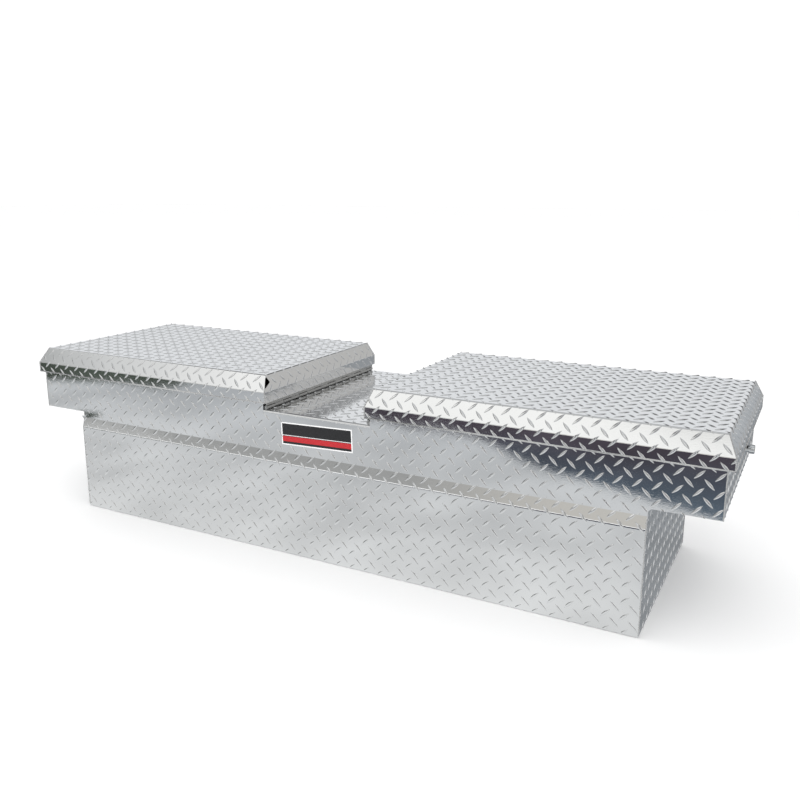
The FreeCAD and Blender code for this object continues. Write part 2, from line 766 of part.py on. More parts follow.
def latch_pawl():
    """The hooked pawl: hub, hook over the striker and tail under the plunger."""
    y0 = -PAWL_HALF
    hook = [
        (PAWL_X + 1, y0, PAWL_Z - 2),
        (PAWL_X + 6, y0, PAWL_Z),
        (PAWL_X + 9, y0, PAWL_Z + 16),
        (PAWL_X + 9, y0, PAWL_Z + 27),
        (PAWL_X + 6, y0, PAWL_Z + 29.5),
        (PAWL_X - 5, y0, PAWL_Z + 28),
        (PAWL_X - 10.5, y0, PAWL_Z + 22.6),
        (PAWL_X + 1.5, y0, PAWL_Z + 22.6),
        (PAWL_X + 1.5, y0, PAWL_Z + 12),
        (PAWL_X - 4, y0, PAWL_Z + 2),
    ]
    tail = [
        (PAWL_X - TAIL_R, y0, PAWL_Z),
        (PAWL_X + TAIL_R, y0, PAWL_Z),
        (PAWL_X + TAIL_R, y0, LOCK_Z),
        (PAWL_X - TAIL_R, y0, LOCK_Z),
    ]
    width = Y * (2 * PAWL_HALF)
    hub_half = FRAME_HALF - HUB_GAP
    pieces = [
        prism(hook, width),
        prism(tail, width),
        rod((PAWL_X, y0, LOCK_Z), Y, TAIL_R, 2 * PAWL_HALF),
        rod((PAWL_X, -hub_half, PAWL_Z), Y, PAWL_HUB_R, 2 * hub_half),
    ]
    bore = rod((PAWL_X, -FRAME_HALF, PAWL_Z), Y, PAWL_PIN_R + RUNNING_GAP, 2 * FRAME_HALF)
    return joined(pieces).cut(bore)


def striker():
    """The striker under the liner: a folded cradle and its cross pin."""
    low = STRIKER_Z - CRADLE_DROP
    foot_x, leg_x = (STRIKER_X - 12, STRIKER_X + 10), (STRIKER_X - 8, STRIKER_X + 7)
    foot_low = LINER_Z - CRADLE_SHEET
    pieces = [block(foot_x[0], foot_x[1], -CRADLE_FOOT_Y, CRADLE_FOOT_Y, foot_low, LINER_Z)]
    for side in (-1, 1):
        y0, y1 = sorted((side * (CRADLE_Y - CRADLE_SHEET), side * CRADLE_Y))
        pieces.append(block(leg_x[0], leg_x[1], y0, y1, low, LINER_Z))
    pieces.append(rod((STRIKER_X, -CRADLE_Y, STRIKER_Z), Y, STRIKER_R, 2 * CRADLE_Y))
    return joined(pieces)


def badge_plate():
    """A thin plain badge on the front panel, stuck on a little askew."""
    half = BADGE_LENGTH / 2
    plate = block(-half, half, -BADGE_SHEET, 0, -BADGE_HEIGHT / 2, BADGE_HEIGHT / 2)
    plate.rotate(Vector(0, 0, 0), Y, -BADGE_ASKEW_DEG)
    plate.translate(Vector(BADGE_X, -BODY_DEPTH, BADGE_Z))
    return plate


def notched(skin):
    """The left lid's open corner: the hip is not welded over its upper part."""
    climb = LID_TOP_Z - LID_BREAK_Z
    outward = Vector(climb, 0, CHAMFER_IN).normalize()
    start, middle, end = NOTCH_SHARES
    outline = []
    for share, inward in ((end, 0.0), (middle, NOTCH_WIDTH), (start, 0.0)):
        x = -LID_IN - share * CHAMFER_IN
        y = share * CHAMFER_Y - LID_DEPTH + inward
        corner = Vector(x, y, LID_BREAK_Z + share * climb) + outward
        outline.append(tuple(corner))
    return skin.cut(prism(outline, outward * -(PAST + 1.5 * SHEET)))


PAIRED = {
    "end_plate": end_plate,
    "end_wall": end_wall,
    "opening_frame": opening_frame,
    "lid_seal": lid_seal,
    "lid_skin": lid_skin,
    "lid_liner": lid_liner,
    "lid_stiffeners": lid_stiffeners,
    "hinge_deck_leaf": hinge_deck_leaf,
    "hinge_lid_leaf": hinge_lid_leaf,
    "hinge_pin": hinge_pin,
    "deck_rivets": deck_rivets,
    "lid_rivets": lid_rivets,
    "strut_cylinders": lambda: both_sides(strut_cylinder),
    "strut_rods": lambda: both_sides(strut_rod),
    "strut_wall_brackets": lambda: both_sides(wall_bracket),
    "strut_lid_brackets": lambda: both_sides(lid_bracket),
    "lock_housing": lock_housing,
    "lock_nut": lock_nut,
    "push_button": push_button,
    "key_plug": key_plug,
    "button_spring": button_spring,
    "latch_frame": latch_frame,
    "latch_screws": latch_screws,
    "latch_pawl": latch_pawl,
    "striker": striker,
}

parts = {
    "tub_shell": tub_shell(),
    "front_panel": upper_panel(-BODY_DEPTH, SKIRT_CUT_LEFT, SKIRT_CUT_RIGHT),
    "back_panel": upper_panel(BODY_DEPTH - SHEET, SKIRT_CUT_RIGHT, SKIRT_CUT_RIGHT),
    "saddle_deck": saddle_deck(),
    "deck_stiffener": deck_stiffener(),
    "badge_plate": badge_plate(),
}
for name, make in PAIRED.items():
    right = make()
    parts[name + "_right"] = right
    parts[name + "_left"] = mirrored(right)
parts["lid_skin_left"] = notched(parts["lid_skin_left"])

os.makedirs("parts", exist_ok=True)
for name, shape in parts.items():
    if not shape.isValid():
        print("not valid:", name)
    shape.exportStep("parts/" + name + ".step")
    box = shape.BoundBox
    print(
        f"{name}: {len(shape.Solids)} solids, {shape.Volume / 1000:.1f} cm3, "
        f"x {box.XMin:.1f}..{box.XMax:.1f} y {box.YMin:.1f}..{box.YMax:.1f} "
        f"z {box.ZMin:.1f}..{box.ZMax:.1f}"
    )
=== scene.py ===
import json
import math
import random

import bmesh
import bpy
from mathutils import Matrix, Vector


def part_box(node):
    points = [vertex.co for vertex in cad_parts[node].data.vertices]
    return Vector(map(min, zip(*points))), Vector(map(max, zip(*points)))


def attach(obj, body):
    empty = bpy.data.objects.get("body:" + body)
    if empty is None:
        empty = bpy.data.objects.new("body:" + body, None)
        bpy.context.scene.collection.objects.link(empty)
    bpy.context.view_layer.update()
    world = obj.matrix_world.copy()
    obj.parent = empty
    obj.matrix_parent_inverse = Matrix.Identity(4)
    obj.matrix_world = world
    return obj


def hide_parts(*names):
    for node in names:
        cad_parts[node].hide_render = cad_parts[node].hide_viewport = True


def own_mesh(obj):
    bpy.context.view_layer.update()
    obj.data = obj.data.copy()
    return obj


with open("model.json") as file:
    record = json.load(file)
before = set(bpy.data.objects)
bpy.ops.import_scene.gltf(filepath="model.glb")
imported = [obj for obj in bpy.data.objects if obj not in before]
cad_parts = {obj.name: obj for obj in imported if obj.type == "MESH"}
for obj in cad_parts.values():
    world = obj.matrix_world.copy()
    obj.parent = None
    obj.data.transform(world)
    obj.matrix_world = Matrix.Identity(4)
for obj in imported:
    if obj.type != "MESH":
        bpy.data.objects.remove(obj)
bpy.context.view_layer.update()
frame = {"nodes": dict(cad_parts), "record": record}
MM = 0.001
SIDES = (("right", 1), ("left", -1))


# ---- The camera and the studio -------------------------------------------------------------------

CAMERA_PLACE = Vector((1.0361, -1.8034, 0.8706))
CAMERA_YAW, CAMERA_PITCH, CAMERA_ROLL = map(math.radians, (27.825, 13.263, 0.067))
LENS, SENSOR = 37.29, 36.0
SHIFT_X, SHIFT_Y = 0.0014, -0.0187


def add_camera():
    """The camera, above the right front corner and looking down along the box."""
    data = bpy.data.cameras.new("camera")
    data.sensor_width = SENSOR
    data.lens = LENS
    data.shift_x, data.shift_y = SHIFT_X, SHIFT_Y
    data.clip_end = 100
    camera = bpy.data.objects.new("camera", data)
    bpy.context.scene.collection.objects.link(camera)
    level = Vector((-math.sin(CAMERA_YAW), math.cos(CAMERA_YAW), 0))
    ahead = level * math.cos(CAMERA_PITCH) - Vector((0, 0, math.sin(CAMERA_PITCH)))
    right = Vector((math.cos(CAMERA_YAW), math.sin(CAMERA_YAW), 0))
    up = right.cross(ahead)
    turn = Matrix((right, up, -ahead)).transposed() @ Matrix.Rotation(CAMERA_ROLL, 3, "Z")
    camera.matrix_world = Matrix.Translation(CAMERA_PLACE) @ turn.to_4x4()
    bpy.context.scene.camera = camera


class Nodes:
    """A short way to write a node tree."""

    def __init__(self, tree):
        self.tree = tree
        tree.nodes.clear()

    def add(self, kind, inputs=None, **settings):
        node = self.tree.nodes.new(kind)
        for name, value in settings.items():
            setattr(node, name, value)
        for name, value in (inputs or {}).items():
            if isinstance(value, bpy.types.NodeSocket):
                self.tree.links.new(value, node.inputs[name])
            else:
                node.inputs[name].default_value = value
        return node


NOISE_RANGE = (0.3, 0.7)


def spread(n, noise, low, high):
    """Stretches the middle of a noise over a range."""
    inputs = {"Value": noise, "From Min": NOISE_RANGE[0], "From Max": NOISE_RANGE[1]}
    return n.add("ShaderNodeMapRange", {**inputs, "To Min": low, "To Max": high}).outputs["Result"]


def card(name, corners, near, far, blotch, reach=(0.27, 1.6), axis="Y"):
    """A flat card near the floor that shows only in reflections.

    near and far are its colours at the two distances of reach along the axis; blotch makes it
    uneven."""
    mesh = bpy.data.meshes.new(name)
    mesh.from_pydata([Vector(c) for c in corners], [], [tuple(range(len(corners)))])
    piece = bpy.data.objects.new(name, mesh)
    bpy.context.scene.collection.objects.link(piece)
    material = bpy.data.materials.new(name)
    material.use_nodes = True
    n = Nodes(material.node_tree)
    where = n.add("ShaderNodeTexCoord").outputs["Object"]
    split = n.add("ShaderNodeSeparateXYZ", {"Vector": where})
    away = n.add("ShaderNodeMath", {0: split.outputs[axis]}, operation="ABSOLUTE").outputs[0]
    ends = {"From Min": reach[0], "From Max": reach[1]}
    distance = n.add("ShaderNodeMapRange", {"Value": away, **ends})
    cloud = n.add("ShaderNodeTexNoise", {"Vector": where, "Scale": 2.6, "Detail": 2.0})
    uneven = spread(n, cloud.outputs["Fac"], 1 - blotch, 1 + blotch)
    color = blended(n, distance.outputs["Result"], near, far)
    light = n.add("ShaderNodeEmission", {"Color": color, "Strength": uneven})
    n.add("ShaderNodeOutputMaterial", {"Surface": light.outputs[0]})
    mesh.materials.append(material)
    piece.visible_camera = False
    piece.visible_diffuse = False
    piece.visible_shadow = False
    piece.visible_transmission = False


FLOOR_HALF = 40.0
FLOOR_PAPER = (0.93, 0.93, 0.93, 1)


def add_floor():
    """A plain pale floor."""
    mesh = bpy.data.meshes.new("floor")
    square = [(a * FLOOR_HALF, b * FLOOR_HALF, 0) for a, b in ((-1, -1), (1, -1), (1, 1), (-1, 1))]
    mesh.from_pydata(square, [], [(0, 1, 2, 3)])
    floor = bpy.data.objects.new("floor", mesh)
    bpy.context.scene.collection.objects.link(floor)
    material = bpy.data.materials.new("floor_paper")
    material.use_nodes = True
    n = Nodes(material.node_tree)
    paper = n.add("ShaderNodeBsdfPrincipled", {"Base Color": FLOOR_PAPER, "Roughness": 0.95})
    n.add("ShaderNodeOutputMaterial", {"Surface": paper.outputs[0]})
    mesh.materials.append(material)


# What the sheets mirror: the room's colours by height, behind the box and in front of it.
BACK_SKY = (
    (0.0, (0.12, 0.12, 0.12)),
    (0.07, (0.26, 0.265, 0.27)),
    (0.12, (0.68, 0.695, 0.71)),
    (0.16, (0.76, 0.775, 0.795)),
    (0.33, (0.78, 0.795, 0.81)),
    (0.46, (0.40, 0.41, 0.42)),
    (0.54, (0.09, 0.09, 0.095)),
    (0.76, (0.09, 0.09, 0.095)),
    (0.87, (0.60, 0.61, 0.62)),
)
FRONT_SKY = (
    (0.0, (0.98, 0.98, 0.97)),
    (0.045, (0.92, 0.92, 0.91)),
    (0.080, (0.36, 0.365, 0.36)),
    (0.14, (0.34, 0.34, 0.335)),
    (0.26, (0.34, 0.34, 0.34)),
    (0.42, (0.86, 0.86, 0.85)),
    (0.69, (1.0, 1.0, 0.98)),
    (0.77, (0.30, 0.30, 0.30)),
    (0.82, (0.14, 0.14, 0.145)),
    (0.89, (0.60, 0.61, 0.62)),
)
# Patches of the room: direction, colour, and the cosines where each ends and where it is full.
PATCHES = (
    ((0.36, -0.86, 0.36), (0.10, 0.10, 0.105), (0.91, 0.975)),
    ((-0.13, -0.98, 0.115), (0.56, 0.545, 0.51), (0.955, 0.993)),
    ((0.60, 0.78, 0.13), (0.50, 0.495, 0.485), (0.86, 0.965)),
    ((-0.86, -0.34, 0.38), (0.58, 0.59, 0.59), (0.93, 0.99)),
    ((-0.95, -0.28, 0.10), (0.14, 0.145, 0.14), (0.88, 0.97)),
)


FRONT_BLEND = 0.15
ROOM_WHITE = 1.12


def room_ramp(n, height, stops_wanted):
    """The room's brightness by height above the horizon."""
    ramp = n.add("ShaderNodeValToRGB", {"Fac": height})
    stops = ramp.color_ramp.elements
    for _ in stops_wanted[2:]:
        stops.new(0.5)
    for stop, (place, color) in zip(stops, stops_wanted):
        stop.position = place
        stop.color = (*color, 1)
    return ramp.outputs["Color"]


def blended(n, share, first, second):
    """A mix of two colours or colour sockets."""
    mix = n.add("ShaderNodeMix", data_type="RGBA")
    n.tree.links.new(share, mix.inputs[0])
    for slot, color in ((6, first), (7, second)):
        if isinstance(color, bpy.types.NodeSocket):
            n.tree.links.new(color, mix.inputs[slot])
        else:
            mix.inputs[slot].default_value = (*color, 1)
    return mix.outputs[2]


def add_world():
    """A white room to the eye. What the sheets mirror has darker parts and patches."""
    world = bpy.data.worlds.new("studio")
    bpy.context.scene.world = world
    world.use_nodes = True
    n = Nodes(world.node_tree)
    way = n.add("ShaderNodeTexCoord").outputs["Generated"]
    split = n.add("ShaderNodeSeparateXYZ", {"Vector": way})
    back = room_ramp(n, split.outputs["Z"], BACK_SKY)
    front = room_ramp(n, split.outputs["Z"], FRONT_SKY)
    ends = {"From Min": FRONT_BLEND, "From Max": -FRONT_BLEND}
    frontness = n.add("ShaderNodeMapRange", {"Value": split.outputs["Y"], **ends})
    color = blended(n, frontness.outputs["Result"], back, front)
    for direction, patch, (edge, full) in PATCHES:
        toward = {0: way, 1: Vector(direction).normalized()}
        near = n.add("ShaderNodeVectorMath", toward, operation="DOT_PRODUCT").outputs["Value"]
        share = n.add("ShaderNodeMapRange", {"Value": near, "From Min": edge, "From Max": full})
        color = blended(n, share.outputs["Result"], color, patch)
    glossy = n.add("ShaderNodeBackground", {"Color": color, "Strength": 1.0})
    white = n.add("ShaderNodeBackground", {"Color": (1, 1, 1, 1), "Strength": ROOM_WHITE})
    mirrored = n.add("ShaderNodeLightPath").outputs["Is Glossy Ray"]
    mix = n.add("ShaderNodeMixShader", {0: mirrored, 1: white.outputs[0], 2: glossy.outputs[0]})
    n.add("ShaderNodeOutputWorld", {"Surface": mix.outputs[0]})


LAMP_TARGET = Vector((0, 0, 0.2))


def add_lamp(name, place, size, watts):
    """A soft square lamp, not mirrored in the sheets."""
    data = bpy.data.lights.new(name, "AREA")
    data.shape = "RECTANGLE"
    data.size = data.size_y = size
    data.energy = watts
    lamp = bpy.data.objects.new(name, data)
    bpy.context.scene.collection.objects.link(lamp)
    lamp.location = place
    lamp.rotation_euler = (LAMP_TARGET - Vector(place)).to_track_quat("-Z", "Y").to_euler()
    lamp.visible_glossy = False


CARD_LOW, CARD_HIGH, CARD_FAR = 0.0015, 0.003, 9.0
# Just outside the tub's foot, in Y and in X.
FOOT_Y, FOOT_X = 0.261, 0.763
DARK_FAR_Y = -3.2
# The outlines of the dark cards in the room, as (x, y).
DARK_RIGHT = (
    (-0.70, -1.43),
    (-0.22, -1.43),
    (-0.06, -1.38),
    (0.05, -1.30),
    (0.16, -1.20),
    (0.32, -1.13),
    (0.59, -1.06),
    (0.72, -1.02),
    (0.83, -0.98),
    (3.2, -0.8),
    (3.2, DARK_FAR_Y),
    (-0.70, DARK_FAR_Y),
)
DARK_LEFT = (
    (-4.6, -1.20),
    (-2.20, -1.25),
    (-2.02, -1.32),
    (-1.86, -1.43),
    (-1.54, -1.45),
    (-1.50, DARK_FAR_Y),
    (-4.6, DARK_FAR_Y),
)
# DARK_CORNER outlines a dark card whose reflection puts a dark spot at the tub's top left corner:
# partly painted shade under the rail shelf, partly a painted dark reflection of the recessed
# flange.
DARK_CORNER = ((-1.60, -0.85), (-1.60, -0.962), (-1.465, -0.962), (-1.465, -0.85))
PALE, PALE_FAR = (0.70, 0.71, 0.71), (0.44, 0.46, 0.48)
PALE_BACK, GREY = (0.64, 0.65, 0.66), (0.30, 0.315, 0.33)
# The right end card's near colour is painted shade: the floor in the box's shade beside its right
# end, as the sheets mirror it.
SHADED_FLOOR_RIGHT, GREY_FAR = (0.27, 0.285, 0.30), (0.46, 0.48, 0.50)
BLUE_BLACK, PLUM_BLACK = (0.080, 0.105, 0.135), (0.066, 0.056, 0.070)
GREEN_BLACK, CORNER_SHADE = (0.07, 0.085, 0.07), (0.045, 0.055, 0.045)
END_REACH = (0.95, 2.2)


def oblong(x0, y0, x1, y1):
    """The four corners of a low card."""
    return [(x0, y0, CARD_LOW), (x1, y0, CARD_LOW), (x1, y1, CARD_LOW), (x0, y1, CARD_LOW)]


def outline(points):
    """The corners of a dark card, which lies just above the pale ones."""
    return [(x, y, CARD_HIGH) for x, y in points]


def add_studio():
    """The floor, the room, and the cards that the bright sheets reflect."""
    add_floor()
    add_world()
    front = oblong(-CARD_FAR, -FOOT_Y, CARD_FAR, DARK_FAR_Y)
    card("pale_front_floor", front, PALE, PALE_FAR, 0.16)
    back = oblong(-CARD_FAR, FOOT_Y, FOOT_X, CARD_FAR)
    card("pale_back_floor", back, PALE_BACK, GREY, 0.16, (0.15, FOOT_X), "X")
    # Painted shade: a grey card seen only in reflections, darker near the box's left end, where the
    # floor lies in the box's shade.
    left = oblong(-CARD_FAR, -FOOT_Y, -FOOT_X, FOOT_Y)
    card("painted_shade_floor_left", left, GREY, GREY_FAR, 0.12, END_REACH, "X")
    card("dark_floor_right", outline(DARK_RIGHT), BLUE_BLACK, PLUM_BLACK, 0.3, (1.1, 1.5))
    card("dark_floor_left", outline(DARK_LEFT), GREEN_BLACK, GREEN_BLACK, 0.25)
    # Painted shade: this dark card's reflection darkens the tub's top left corner, where the rail
    # shelf shades it.
    card("painted_shade_corner_card", outline(DARK_CORNER), CORNER_SHADE, CORNER_SHADE, 0.1)
    # Painted shade: a grey card seen only in reflections, darker near the box's right end, where
    # the floor lies in the box's shade.
    right = oblong(FOOT_X, -FOOT_Y, CARD_FAR, CARD_FAR)
    card("painted_shade_floor_right", right, SHADED_FLOOR_RIGHT, GREY_FAR, 0.2, END_REACH, "X")
    add_lamp("key", (1.2, -2.2, 3.2), 2.4, 30)
    add_lamp("fill", (-2.6, -1.2, 2.4), 2.0, 12)


# ---- Materials -----------------------------------------------------------------------------------


WAVE_DEPTH, GRAIN_DEPTH = 0.01, 0.0004


def finish(name, color, metallic, rough, grain=None, wave=None, spots=0.03):
    """A metal, rubber or paint with grain, faint smudges and varied roughness, all from noise.

    rough gives the roughness range, grain its stretch, scale and strength, wave the scale and
    strength of a slow unevenness, and spots how far the colour varies."""
    material = bpy.data.materials.new(name)
    material.use_nodes = True
    n = Nodes(material.node_tree)
    where = n.add("ShaderNodeTexCoord").outputs["Object"]
    smudge = n.add("ShaderNodeTexNoise", {"Vector": where, "Scale": 9.0, "Detail": 4.0})
    tint = n.add("ShaderNodeMix", {"Factor": smudge.outputs["Fac"]}, data_type="RGBA")
    tint.inputs[6].default_value = (*[max(0, c - spots) for c in color], 1)
    tint.inputs[7].default_value = (*[min(1, c + spots) for c in color], 1)
    fine = n.add("ShaderNodeTexNoise", {"Vector": where, "Scale": 60.0, "Detail": 5.0})
    matt = spread(n, fine.outputs["Fac"], *rough)
    normal = None
    if wave:
        scale, strength = wave
        slow = n.add("ShaderNodeTexNoise", {"Vector": where, "Scale": scale, "Detail": 1.0})
        inputs = {"Height": slow.outputs["Fac"], "Strength": strength, "Distance": WAVE_DEPTH}
        normal = n.add("ShaderNodeBump", inputs).outputs["Normal"]
    if grain:
        stretch, scale, strength = grain
        lines = n.add("ShaderNodeMapping", {"Vector": where, "Scale": stretch})
        inputs = {"Vector": lines.outputs[0], "Scale": scale, "Detail": 3.0}
        noise = n.add("ShaderNodeTexNoise", inputs)
        inputs = {"Height": noise.outputs["Fac"], "Strength": strength, "Distance": GRAIN_DEPTH}
        if normal:
            inputs["Normal"] = normal
        normal = n.add("ShaderNodeBump", inputs).outputs["Normal"]
    surface = {
        "Base Color": tint.outputs[2],
        "Metallic": metallic,
        "Roughness": matt,
    }
    if normal:
        surface["Normal"] = normal
    shader = n.add("ShaderNodeBsdfPrincipled", surface)
    n.add("ShaderNodeOutputMaterial", {"Surface": shader.outputs[0]})
    return material


BADGE_ASKEW = math.radians(2.0)
BADGE_SIZE = (0.196, 0.055)
BADGE_BORDER = 0.0028
# The badge's bands, as the height of the middle and half the width.
RED_BAND, WHITE_LINE = (-0.0125, 0.0065), (-0.0040, 0.0007)
BADGE_WHITE = (0.86, 0.86, 0.86)
BADGE_BLACKS = ((0.008, 0.008, 0.009), (0.022, 0.022, 0.024))
BADGE_REDS = ((0.44, 0.010, 0.016), (0.56, 0.022, 0.030))


def badge_film():
    """Printed film: a white border, a black field and one red band with a white line over it."""
    material = bpy.data.materials.new("badge_film")
    material.use_nodes = True
    n = Nodes(material.node_tree)
    low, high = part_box("badge_plate")
    middle = (Vector(low) + Vector(high)) / 2
    where = n.add("ShaderNodeTexCoord").outputs["Object"]
    moved = n.add("ShaderNodeVectorMath", {0: where, 1: middle}, operation="SUBTRACT").outputs[0]
    turned = {"Vector": moved, "Angle": BADGE_ASKEW}
    level = n.add("ShaderNodeVectorRotate", turned, rotation_type="Y_AXIS")
    split = n.add("ShaderNodeSeparateXYZ", {"Vector": level.outputs[0]})

    def maths(operation, *values):
        return n.add("ShaderNodeMath", dict(enumerate(values)), operation=operation).outputs[0]

    def band(centre, half):
        off = maths("SUBTRACT", split.outputs["Z"], centre)
        return maths("LESS_THAN", maths("ABSOLUTE", off), half)

    wear = n.add("ShaderNodeTexNoise", {"Vector": where, "Scale": 220.0, "Detail": 4.0})
    field = blended(n, wear.outputs["Fac"], *BADGE_BLACKS)
    red = blended(n, wear.outputs["Fac"], *BADGE_REDS)
    color = blended(n, band(*RED_BAND), field, red)
    color = blended(n, band(*WHITE_LINE), color, BADGE_WHITE)
    for axis, size in zip("XZ", BADGE_SIZE):
        limit = size / 2 - BADGE_BORDER
        edge = maths("GREATER_THAN", maths("ABSOLUTE", split.outputs[axis]), limit)
        color = blended(n, edge, color, BADGE_WHITE)
    wrinkle = {"Height": wear.outputs["Fac"], "Strength": 0.05, "Distance": 0.0003}
    bump = n.add("ShaderNodeBump", wrinkle).outputs["Normal"]
    surface = {"Base Color": color, "Roughness": 0.28, "Normal": bump}
    shader = n.add("ShaderNodeBsdfPrincipled", surface)
    n.add("ShaderNodeOutputMaterial", {"Surface": shader.outputs[0]})
    return material


# Grain: its stretch along the three axes, its scale and its strength.
ROLLED = ((2.0, 14.0, 14.0), 60.0, 0.06)
BRUSHED = ((1.0, 30.0, 30.0), 90.0, 0.25)
DRAWN = ((1, 1, 30), 90.0, 0.05)
TURNED = ((30, 1, 1), 90.0, 0.2)


def speckled(scale, strength):
    """A grain with no direction."""
    return ((9, 9, 9), scale, strength)


ALLOY, MILL, RUBBER = (0.90, 0.905, 0.91), (0.80, 0.81, 0.82), (0.035, 0.035, 0.035)
STEEL, RIVET, PAINT = (0.50, 0.50, 0.49), (0.82, 0.82, 0.82), (0.018, 0.018, 0.02)
CHROME, ZINC, LOCK = (0.78, 0.78, 0.8), (0.70, 0.70, 0.66), (0.82, 0.84, 0.85)
KEY, SPRING = (0.72, 0.70, 0.64), (0.42, 0.42, 0.43)
# By the record's slot: material name, colour, metallic, roughness, grain, wave and spots.
FINISH_TABLE = {
    "tread_plate": ("bright_tread", ALLOY, 1.0, (0.04, 0.085), ROLLED, (3.4, 0.22)),
    "plain_sheet": ("mill_sheet", MILL, 1.0, (0.28, 0.42), BRUSHED, (4.0, 0.1)),
    "seal_rubber": ("seal_rubber", RUBBER, 0.0, (0.7, 0.9), speckled(90.0, 0.4), None, 0.008),
    "stainless": ("hinge_steel", STEEL, 1.0, (0.22, 0.36), BRUSHED, None, 0.06),
    "rivet_metal": ("rivet_metal", RIVET, 1.0, (0.18, 0.3), speckled(50.0, 0.15)),
    "strut_black": ("strut_black", PAINT, 0.0, (0.16, 0.3), speckled(90.0, 0.05), None, 0.004),
    "chromed_rod": ("chromed_rod", CHROME, 1.0, (0.05, 0.12), DRAWN),
    "zinc_steel": ("zinc_steel", ZINC, 1.0, (0.25, 0.42), speckled(40.0, 0.2), None, 0.08),
    "lock_chrome": ("lock_chrome", LOCK, 1.0, (0.08, 0.16), speckled(90.0, 0.06)),
    "key_metal": ("key_metal", KEY, 1.0, (0.2, 0.32), TURNED),
    "spring_steel": ("spring_steel", SPRING, 1.0, (0.25, 0.4), speckled(90.0, 0.1)),
}
FINISHES = {slot: finish(*row) for slot, row in FINISH_TABLE.items()}
FINISHES["badge"] = badge_film()


def dress_nodes():
    """Every CAD node takes the finish of its record slot."""
    for row in frame["record"]["subparts"]:
        mesh = frame["nodes"][row["node"]].data
        mesh.materials.clear()
        mesh.materials.append(FINISHES[row["material_slot"]])


def add_piece(name, mesh, body, slot):
    """Links a mesh as a piece that rides on a body."""
    piece = bpy.data.objects.new(name, mesh)
    bpy.context.scene.collection.objects.link(piece)
    mesh.materials.append(FINISHES[slot])
    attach(piece, body)
    return piece


# ---- Places on the sheets, from the design -------------------------------------------------------

# The lid's chamfers: the run of the inboard one, the outboard one and the other two, and the fall.
CHAMFER_IN, CHAMFER_OUT, CHAMFER_Y, CHAMFER_FALL = 11.5 * MM, 18 * MM, 22.4 * MM, 38 * MM
NOTCH_DEPTH = 26 * MM
JOGGLE_Z, JOGGLE_TOP_Z = 232 * MM, 258 * MM
BODY_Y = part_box("back_panel")[1][1]
TUB_BACK_Y = 245 * MM
INSET_Y = 256.4 * MM
SHEET = 1.6 * MM
EDGE = 6 * MM
RAIL_Z, PANEL_LOW_Z = 275 * MM, 260 * MM
WALL_TOP_Z, PANEL_BEND_Z = 396 * MM, 352 * MM
STEP_X = 147 * MM
# Where the front panel's foot ends at the left and at the right, and how far it flares above.
FOOT_ENDS, FOOT_FLARE = (697 * MM, 753 * MM), (24 * MM, 15 * MM)
LOCK_Z, LOCK_KEEP = 345 * MM, 16 * MM
BADGE_KEEP = 5 * MM
BOLT_X, BOLT_Y, BOLT_KEEP = 830 * MM, 180 * MM, 15 * MM
DECK_X, DECK_Y = 135.5 * MM, 252 * MM


# ---- The raised tread pattern --------------------------------------------------------------------

PITCH_A, PITCH_B = 0.0373, 0.0353
LOZENGE_LONG, LOZENGE_WIDE, LOZENGE_HIGH = 0.0285, 0.0062, 0.0014
SUNK = 0.0002
# Places along a lozenge, as shares of its half length.
STATIONS = (-0.74, -0.38, 0.0, 0.38, 0.74)
# Places across a lozenge, as shares of its half width, with their shares of its height.
ACROSS = ((-1.0, 0.0), (-0.62, 0.72), (0.0, 1.0), (0.62, 0.72), (1.0, 0.0))
REACH = LOZENGE_LONG / 2
# A lozenge whose middle is past an edge by more than this share of its reach is left out.
KEEP_PAST = 0.75
ON_EDGE, WELD_GAP = 1e-5, 1e-6
CREASE, OPEN_EDGE = 0.9, 3.0


def lozenge(slant):
    """One raised lens at 45 degrees, as flat (a, b, height) points with its faces."""
    turn = math.radians(45 * slant)
    ca, sa = math.cos(turn), math.sin(turn)
    points, faces = [], []

    def point(along, across, high):
        a, b = along * REACH, across * LOZENGE_WIDE / 2
        points.append((a * ca - b * sa, a * sa + b * ca, high * LOZENGE_HIGH))

    point(-1, 0, 0)
    for t in STATIONS:
        wide, high = 1 - t * t, (1 - t * t) ** 0.5
        for share, rise in ACROSS:
            point(t, wide * share, high * rise)
    point(1, 0, 0)
    last = len(points) - 1
    row = len(ACROSS)
    for i in range(len(STATIONS) - 1):
        base = 1 + row * i
        for j in range(row - 1):
            faces.append((base + j, base + j + row, base + j + row + 1, base + j + 1))
    for j in range(row - 1):
        faces.append((0, 1 + j, 2 + j))
        faces.append((last, last - 1 - j, last - 2 - j))
    under = [0] + [row * (i + 1) for i in range(len(STATIONS))] + [last]
    under += [1 + row * i for i in reversed(range(len(STATIONS)))]
    sunk = len(points)
    for k in under:
        a, b, _ = points[k]
        points.append((a, b, -SUNK))
    count = len(under)
    faces.append(tuple(range(sunk, sunk + count)))
    for k in range(count):
        after = (k + 1) % count
        faces.append((under[k], under[after], sunk + after, sunk + k))
    return points, faces


LOZENGES = {1: lozenge(1), -1: lozenge(-1)}


